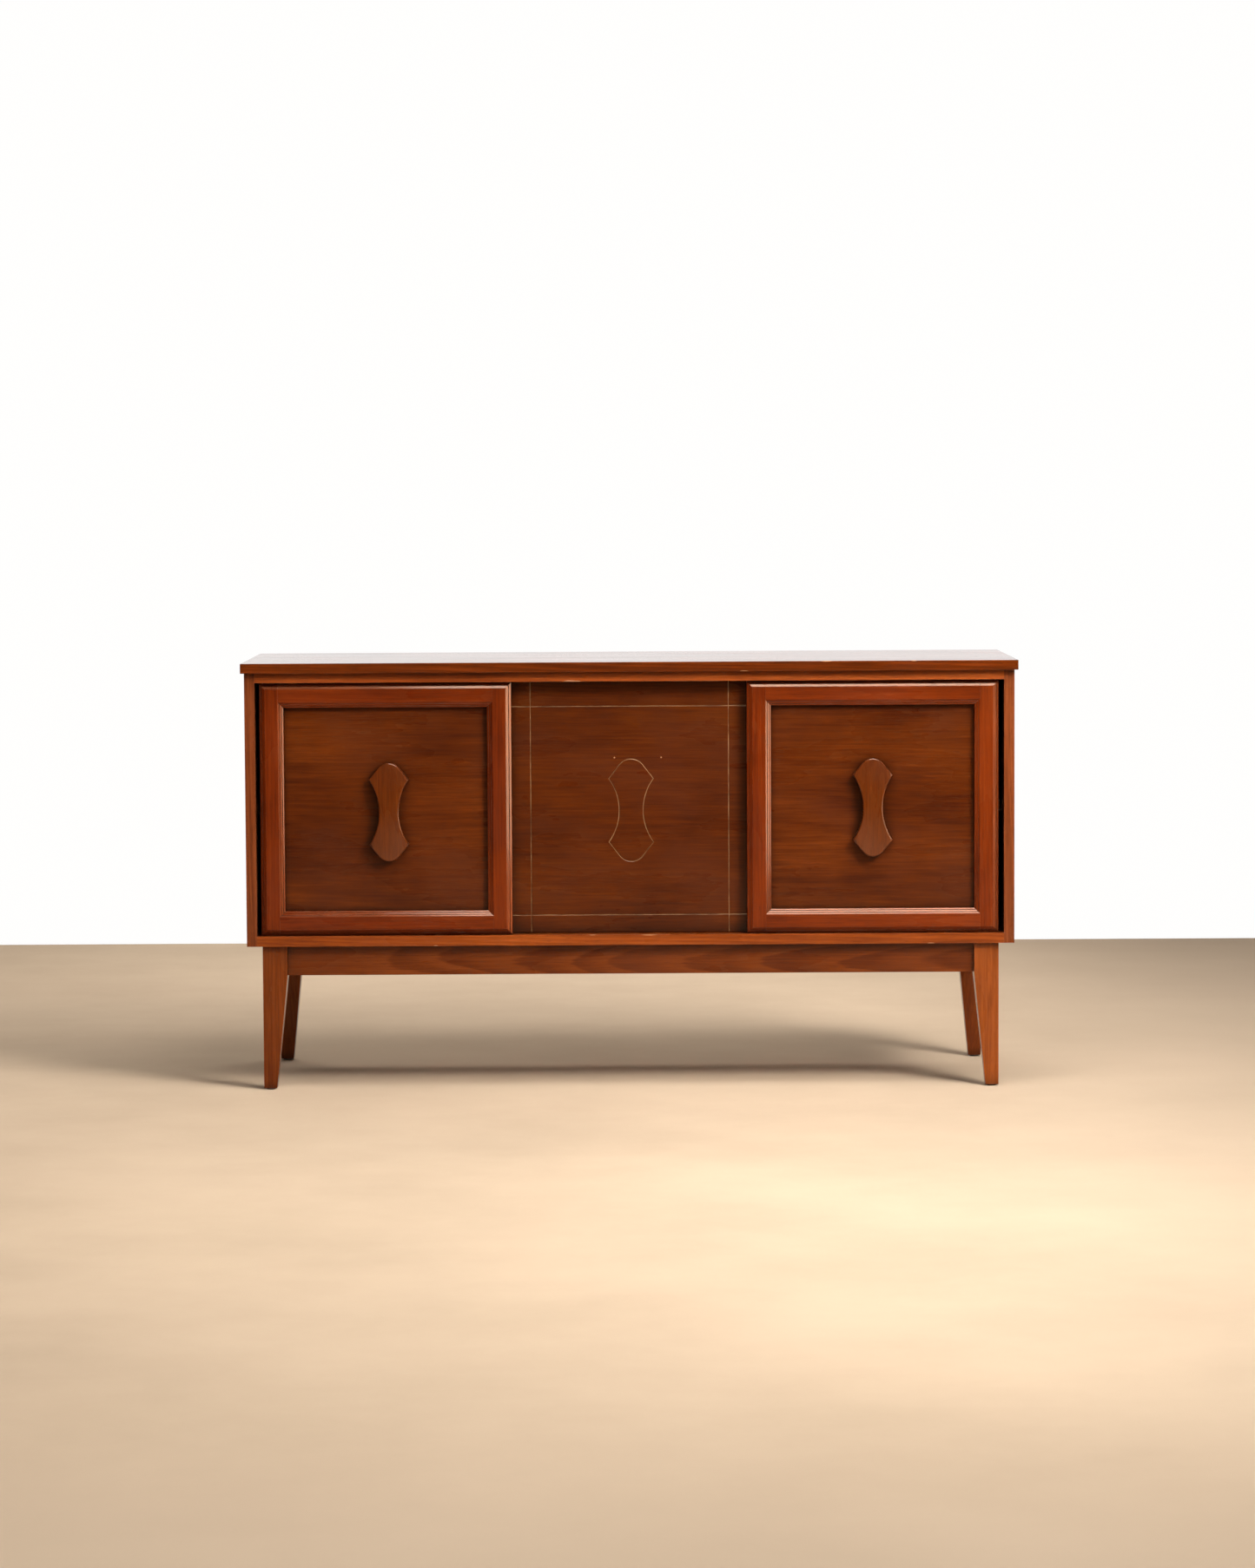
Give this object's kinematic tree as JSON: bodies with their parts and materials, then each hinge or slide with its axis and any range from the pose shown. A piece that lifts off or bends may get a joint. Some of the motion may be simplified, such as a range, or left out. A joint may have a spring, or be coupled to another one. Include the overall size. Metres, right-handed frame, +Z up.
{
  "type": "sideboard buffet",
  "caption": "Long low wooden sideboard buffet with sliding doors in grooves, carved bow-shaped pulls, shelved bays and a recessed base on tapered legs.",
  "frame": {"origin": "on the floor, under the middle of the top board", "axes": "+X along the front to the viewer's right, -Y out of the front, +Z up"},
  "size_m": [1.422, 0.457, 0.787],
  "materials": {
    "walnut_case": "red-brown walnut, worn satin lacquer",
    "walnut_frame": "dark red-brown walnut, satin lacquer",
    "walnut_veneer": "straight-grained walnut veneer, satin lacquer",
    "walnut_pull": "carved walnut, satin lacquer",
    "walnut_base": "figured walnut, satin lacquer",
    "inner_wood": "plain board, thin lacquer",
    "hardboard": "brown hardboard, bare",
    "dowel_beech": "bare turned dowel",
    "nylon": "dark brown nylon",
    "glide_plastic": "dark hard plastic",
    "screw_steel": "zinc-plated, dulled",
    "pin_steel": "plain steel"
  },
  "bodies": {
    "case": {"apron_front": "walnut_base", "apron_left": "walnut_base", "apron_rear": "walnut_base", "apron_right": "walnut_base", "back_panel": "hardboard", "back_panel_screws": "screw_steel", "base_screws": "screw_steel", "bottom_panel": "walnut_case", "case_dowels": "dowel_beech", "corner_block_front_left": "inner_wood", "corner_block_front_right": "inner_wood", "corner_block_rear_left": "inner_wood", "corner_block_rear_right": "inner_wood", "leg_front_left": "walnut_base", "leg_front_right": "walnut_base", "leg_glide_front_left": "glide_plastic", "leg_glide_front_right": "glide_plastic", "leg_glide_rear_left": "glide_plastic", "leg_glide_rear_right": "glide_plastic", "leg_rear_left": "walnut_base", "leg_rear_right": "walnut_base", "partition_left": "inner_wood", "partition_right": "inner_wood", "shelf_centre": "inner_wood", "shelf_left": "inner_wood", "shelf_pins": "pin_steel", "shelf_right": "inner_wood", "side_panel_left": "walnut_case", "side_panel_right": "walnut_case", "top_panel": "walnut_case", "top_screws": "screw_steel", "upper_back_rail": "inner_wood", "upper_track_rail": "walnut_case"},
    "door_left": {"door_left_bottom_glides": "nylon", "door_left_panel": "walnut_veneer", "door_left_pull": "walnut_pull", "door_left_pull_screws": "screw_steel", "door_left_rail_bottom": "walnut_frame", "door_left_rail_top": "walnut_frame", "door_left_stile_inner": "walnut_frame", "door_left_stile_outer": "walnut_frame", "door_left_top_guides": "nylon"},
    "door_right": {"door_right_bottom_glides": "nylon", "door_right_panel": "walnut_veneer", "door_right_pull": "walnut_pull", "door_right_pull_screws": "screw_steel", "door_right_rail_bottom": "walnut_frame", "door_right_rail_top": "walnut_frame", "door_right_stile_inner": "walnut_frame", "door_right_stile_outer": "walnut_frame", "door_right_top_guides": "nylon"},
    "door_centre": {"door_centre_bottom_glides": "nylon", "door_centre_panel": "walnut_veneer", "door_centre_top_guides": "nylon"}
  },
  "joints": [
    {"name": "door_left_slide", "type": "slide", "parent": "case", "child": "door_left", "axis": [1, 0, 0], "range_m": [-0.0065, 0.215]},
    {"name": "door_right_slide", "type": "slide", "parent": "case", "child": "door_right", "axis": [-1, 0, 0], "range_m": [-0.0085, 0.215]},
    {"name": "door_centre_slide", "type": "slide", "parent": "case", "child": "door_centre", "axis": [1, 0, 0], "range_m": [-0.454, 0.454]}
  ]
}
